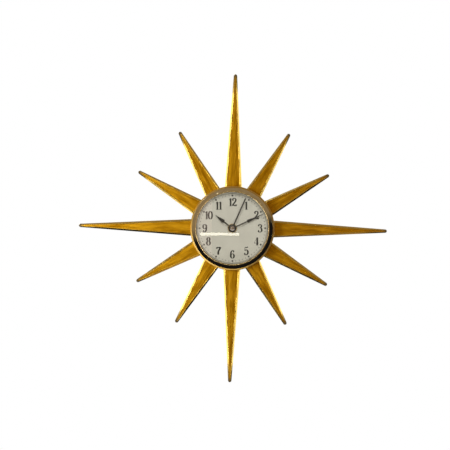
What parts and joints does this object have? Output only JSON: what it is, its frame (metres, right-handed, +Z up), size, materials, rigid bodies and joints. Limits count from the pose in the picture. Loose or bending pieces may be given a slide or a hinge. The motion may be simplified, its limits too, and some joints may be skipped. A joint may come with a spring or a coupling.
{
  "type": "sunburst wall clock",
  "caption": "Round wall clock with a glazed dial in the middle of a star of tapered gold rays; battery quartz movement with hands, wheel train and setting knob.",
  "frame": {"origin": "where the clock's axis meets the wall plane that the spacer ring rests on", "axes": "+Z up towards 12 o'clock, -Y out of the wall towards the viewer, +X towards 3 o'clock"},
  "size_m": [0.42, 0.0343, 0.42],
  "materials": {
    "ray_brass": "gold lacquer over a fine grained field",
    "rivet_brass": "turned",
    "hub_steel": "zinc plated",
    "hanger_zinc": "zinc plated",
    "screw_steel": "plated",
    "spacer_black": "moulded",
    "case_brass": "polished and lacquered",
    "bezel_polish": "mirror polished",
    "lens_glass": "flat mineral glass",
    "gasket_rubber": "satin",
    "ring_silver": "satin silver",
    "dial_cream": "matt cream with printed black numerals",
    "support_grey": "moulded",
    "fitting_brass": "turned",
    "hand_black": "satin black lacquer",
    "cap_chrome": "polished",
    "movement_black": "moulded",
    "plate_ivory": "moulded",
    "battery_label": null,
    "contact_nickel": "nickel plated",
    "soft_iron": "stamped",
    "bobbin_white": "moulded",
    "winding_copper": "enamelled copper wire",
    "board_green": "solder mask",
    "chip_black": "epoxy",
    "crystal_can": "nickel silver can",
    "knob_black": "moulded",
    "wheel_white": "moulded",
    "magnet_grey": "sintered"
  },
  "bodies": {
    "clock_case": {"ray_01": "ray_brass", "ray_02": "ray_brass", "ray_03": "ray_brass", "ray_04": "ray_brass", "ray_05": "ray_brass", "ray_06": "ray_brass", "ray_07": "ray_brass", "ray_08": "ray_brass", "ray_09": "ray_brass", "ray_10": "ray_brass", "ray_11": "ray_brass", "ray_12": "ray_brass", "ray_rivets": "rivet_brass", "hub_plate": "hub_steel", "hanger_plate": "hanger_zinc", "hanger_screws": "screw_steel", "wall_spacer": "spacer_black", "case_screws": "screw_steel", "case_nuts": "screw_steel", "case_drum": "case_brass", "bezel": "bezel_polish", "glass": "lens_glass", "glass_gasket": "gasket_rubber", "inner_ring": "ring_silver", "dial": "dial_cream", "dial_support": "support_grey", "dial_washer": "fitting_brass", "dial_nut": "fitting_brass", "movement_case": "movement_black", "movement_cover": "movement_black", "movement_screws": "screw_steel", "middle_plate": "plate_ivory", "train_bridge": "plate_ivory", "battery": "battery_label", "positive_contact": "contact_nickel", "negative_contact": "contact_nickel", "stator": "soft_iron", "coil_core": "soft_iron", "coil_bobbin": "bobbin_white", "coil_winding": "winding_copper", "circuit_board": "board_green", "clock_chip": "chip_black", "quartz_crystal": "crystal_can"},
    "minute_hand_group": {"minute_hand": "hand_black", "cannon_pinion": "fitting_brass", "clutch_spring": "contact_nickel"},
    "hour_hand_group": {"hour_hand": "hand_black", "hour_wheel": "wheel_white"},
    "motion_wheel_group": {"motion_wheel": "wheel_white"},
    "setting_knob_group": {"setting_knob": "knob_black"},
    "second_hand_group": {"second_hand": "hand_black", "second_hand_cap": "cap_chrome", "second_wheel": "wheel_white"},
    "third_wheel_group": {"third_wheel": "wheel_white"},
    "centre_wheel_group": {"centre_wheel": "wheel_white"},
    "intermediate_wheel_group": {"intermediate_wheel": "wheel_white"},
    "rotor_group": {"rotor_magnet": "magnet_grey", "rotor_pinion": "wheel_white"}
  },
  "joints": [
    {"name": "minute_hand_turn", "type": "hinge", "parent": "clock_case", "child": "minute_hand_group", "pos_m": [0, -0.0299, 0], "axis": [0, 1, 0], "continuous": true},
    {"name": "hour_hand_turn", "type": "hinge", "parent": "clock_case", "child": "hour_hand_group", "pos_m": [0, -0.0288, 0], "axis": [0, 1, 0], "continuous": true},
    {"name": "motion_wheel_turn", "type": "hinge", "parent": "clock_case", "child": "motion_wheel_group", "pos_m": [0.00789, -0.0214, -0.00287], "axis": [0, 1, 0], "continuous": true},
    {"name": "setting_knob_turn", "type": "hinge", "parent": "clock_case", "child": "setting_knob_group", "pos_m": [0.01517, -0.0072, 0.00133], "axis": [0, 1, 0], "continuous": true},
    {"name": "second_hand_turn", "type": "hinge", "parent": "clock_case", "child": "second_hand_group", "pos_m": [0, -0.031, 0], "axis": [0, 1, 0], "continuous": true},
    {"name": "third_wheel_turn", "type": "hinge", "parent": "clock_case", "child": "third_wheel_group", "pos_m": [-0.01021, -0.018, 0.00352], "axis": [0, 1, 0], "continuous": true},
    {"name": "centre_wheel_turn", "type": "hinge", "parent": "clock_case", "child": "centre_wheel_group", "pos_m": [0, -0.02, 0], "axis": [0, 1, 0], "continuous": true},
    {"name": "intermediate_wheel_turn", "type": "hinge", "parent": "clock_case", "child": "intermediate_wheel_group", "pos_m": [0.00375, -0.0145, 0.0065], "axis": [0, 1, 0], "continuous": true},
    {"name": "rotor_turn", "type": "hinge", "parent": "clock_case", "child": "rotor_group", "pos_m": [0.00655, -0.0174, 0.01134], "axis": [0, 1, 0], "continuous": true}
  ],
  "couplings": [
    {"joint": "hour_hand_turn", "follows": "minute_hand_turn", "ratio": 0.083333},
    {"joint": "motion_wheel_turn", "follows": "minute_hand_turn", "ratio": -0.33333},
    {"joint": "setting_knob_turn", "follows": "minute_hand_turn", "ratio": 1},
    {"joint": "third_wheel_turn", "follows": "second_hand_turn", "ratio": -0.13333},
    {"joint": "centre_wheel_turn", "follows": "second_hand_turn", "ratio": 0.016667},
    {"joint": "intermediate_wheel_turn", "follows": "second_hand_turn", "ratio": -5},
    {"joint": "rotor_turn", "follows": "second_hand_turn", "ratio": 30}
  ]
}
